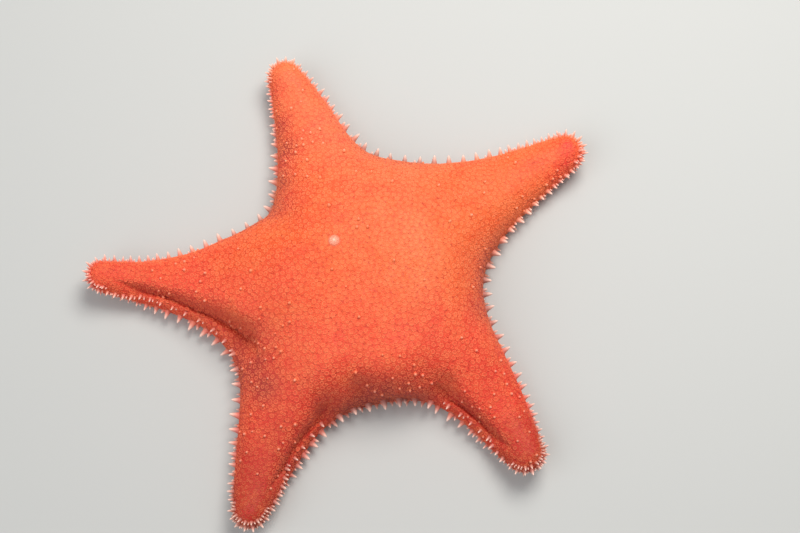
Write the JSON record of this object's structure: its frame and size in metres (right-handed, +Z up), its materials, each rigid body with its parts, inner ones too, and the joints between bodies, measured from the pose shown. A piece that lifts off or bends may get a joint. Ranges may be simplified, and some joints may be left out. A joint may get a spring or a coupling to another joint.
{
  "type": "starfish",
  "caption": "Life-size cushion star with a domed disc, tapering arms, a fringe of blunt spines and open furrows beneath.",
  "frame": {"origin": "on the floor, under the middle of the whole outline with its spines", "axes": "+Z up from the mouth side to the back, +X to the right and +Y away in the view that the pose was taken from"},
  "size_m": [0.2206, 0.2134, 0.0366],
  "materials": {
    "skin": "satin",
    "spines": "satin",
    "sieve_plate": "matte",
    "jaws": "matte",
    "tube_feet": "satin"
  },
  "bodies": {
    "root": {"disc": "skin", "arm_a": "skin", "arm_b": "skin", "arm_c": "skin", "arm_d": "skin", "arm_e": "skin", "madreporite": "sieve_plate", "jaws": "jaws"}
  },
  "joints": []
}
